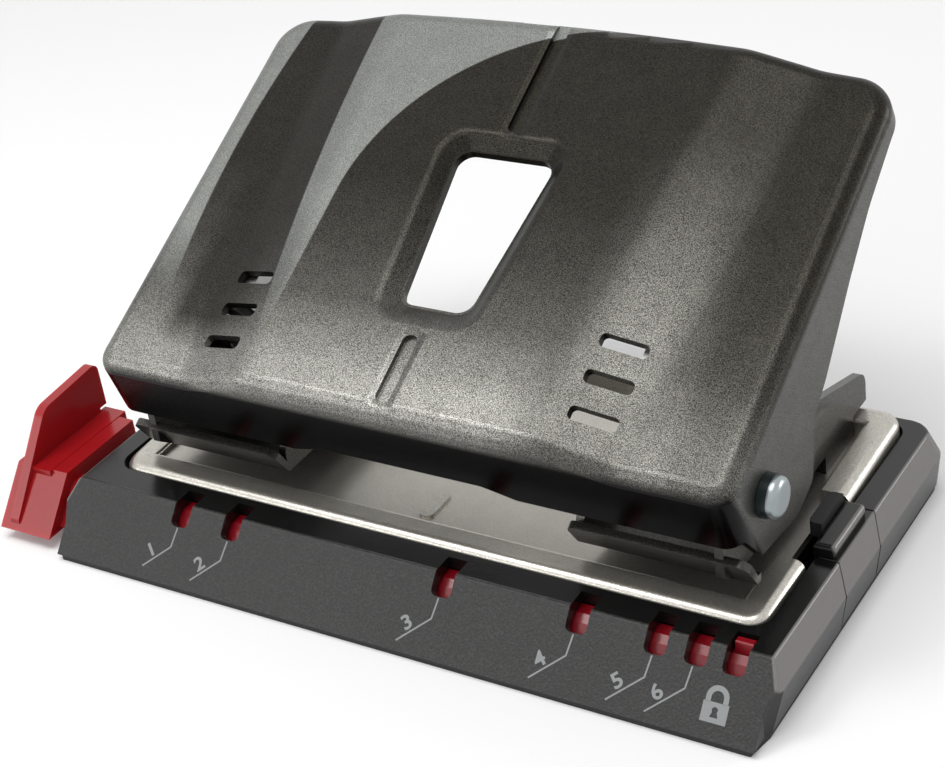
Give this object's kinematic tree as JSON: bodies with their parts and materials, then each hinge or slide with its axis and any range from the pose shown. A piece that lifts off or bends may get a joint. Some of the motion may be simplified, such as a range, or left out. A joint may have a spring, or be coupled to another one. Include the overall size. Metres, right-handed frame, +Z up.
{
  "type": "two-hole lever paper punch",
  "caption": "Desk punch for paper: a sprung lever over a base plate with a sliding paper guide at the front and a chip tray underneath.",
  "frame": {"origin": "on the desk, under the middle of the two punches' line and 2.4 mm in front of it", "axes": "+Z up, +X to the user's right along the line of the two holes, +Y away from the user, towards the lever's free end"},
  "size_m": [0.123, 0.0705, 0.0607],
  "materials": {
    "dark_plastic": "satin",
    "graphite_paint": "satin",
    "bracket_steel": "satin",
    "hardened_steel": "polished",
    "pin_chrome": "polished",
    "red_plastic": "gloss",
    "black_plastic": "matte"
  },
  "bodies": {
    "base": {"casing": "dark_plastic", "base_plate": "graphite_paint", "bracket_left": "graphite_paint", "bracket_right": "graphite_paint", "die_left": "hardened_steel", "die_right": "hardened_steel", "guide_bush_left": "hardened_steel", "guide_bush_right": "hardened_steel", "punch_spring_left": "bracket_steel", "punch_spring_right": "bracket_steel", "pivot_pin_left": "pin_chrome", "pivot_pin_right": "pin_chrome", "pivot_washer_left": "black_plastic", "pivot_washer_right": "black_plastic", "pivot_spacer_left": "bracket_steel", "pivot_spacer_right": "bracket_steel", "chip_tray": "black_plastic", "bracket_rivet_1": "bracket_steel", "plate_screw_1": "bracket_steel", "bracket_rivet_2": "bracket_steel", "plate_screw_2": "bracket_steel", "bracket_rivet_3": "bracket_steel", "plate_screw_3": "bracket_steel", "bracket_rivet_4": "bracket_steel", "plate_screw_4": "bracket_steel"},
    "lever_body": {"lever": "graphite_paint", "press_bracket_left": "bracket_steel", "press_bracket_right": "bracket_steel", "press_pin_left": "hardened_steel", "press_pin_right": "hardened_steel"},
    "punch_left_body": {"punch_left": "hardened_steel", "spring_cap_left": "bracket_steel"},
    "punch_right_body": {"punch_right": "hardened_steel", "spring_cap_right": "bracket_steel"},
    "guide_body": {"paper_guide": "red_plastic", "guide_detent": "red_plastic"},
    "lock_body": {"lock_slider": "dark_plastic", "lock_tongue": "black_plastic"}
  },
  "joints": [
    {"name": "lever_hinge", "type": "hinge", "parent": "base", "child": "lever_body", "pos_m": [0, -0.0119, 0.0239], "axis": [-1, 0, 0], "range_deg": [0, 23], "stiffness_Nm_per_rad": 0.6, "springref_deg": -20.05},
    {"name": "punch_left_slide", "type": "slide", "parent": "base", "child": "punch_left_body", "axis": [0, 0, -1], "range_m": [0, 0.00577], "deforming": ["punch_spring_left"]},
    {"name": "punch_right_slide", "type": "slide", "parent": "base", "child": "punch_right_body", "axis": [0, 0, -1], "range_m": [0, 0.00577], "deforming": ["punch_spring_right"]},
    {"name": "guide_slide", "type": "slide", "parent": "base", "child": "guide_body", "axis": [-1, 0, 0], "range_m": [0, 0.0851], "deforming": ["guide_detent"]},
    {"name": "lock_slide", "type": "slide", "parent": "base", "child": "lock_body", "axis": [-1, 0, 0], "range_m": [0, 0.003]}
  ],
  "couplings": [
    {"joint": "punch_left_slide", "follows": "lever_hinge", "m_per_rad": 0.01435},
    {"joint": "punch_right_slide", "follows": "lever_hinge", "m_per_rad": 0.01435}
  ]
}
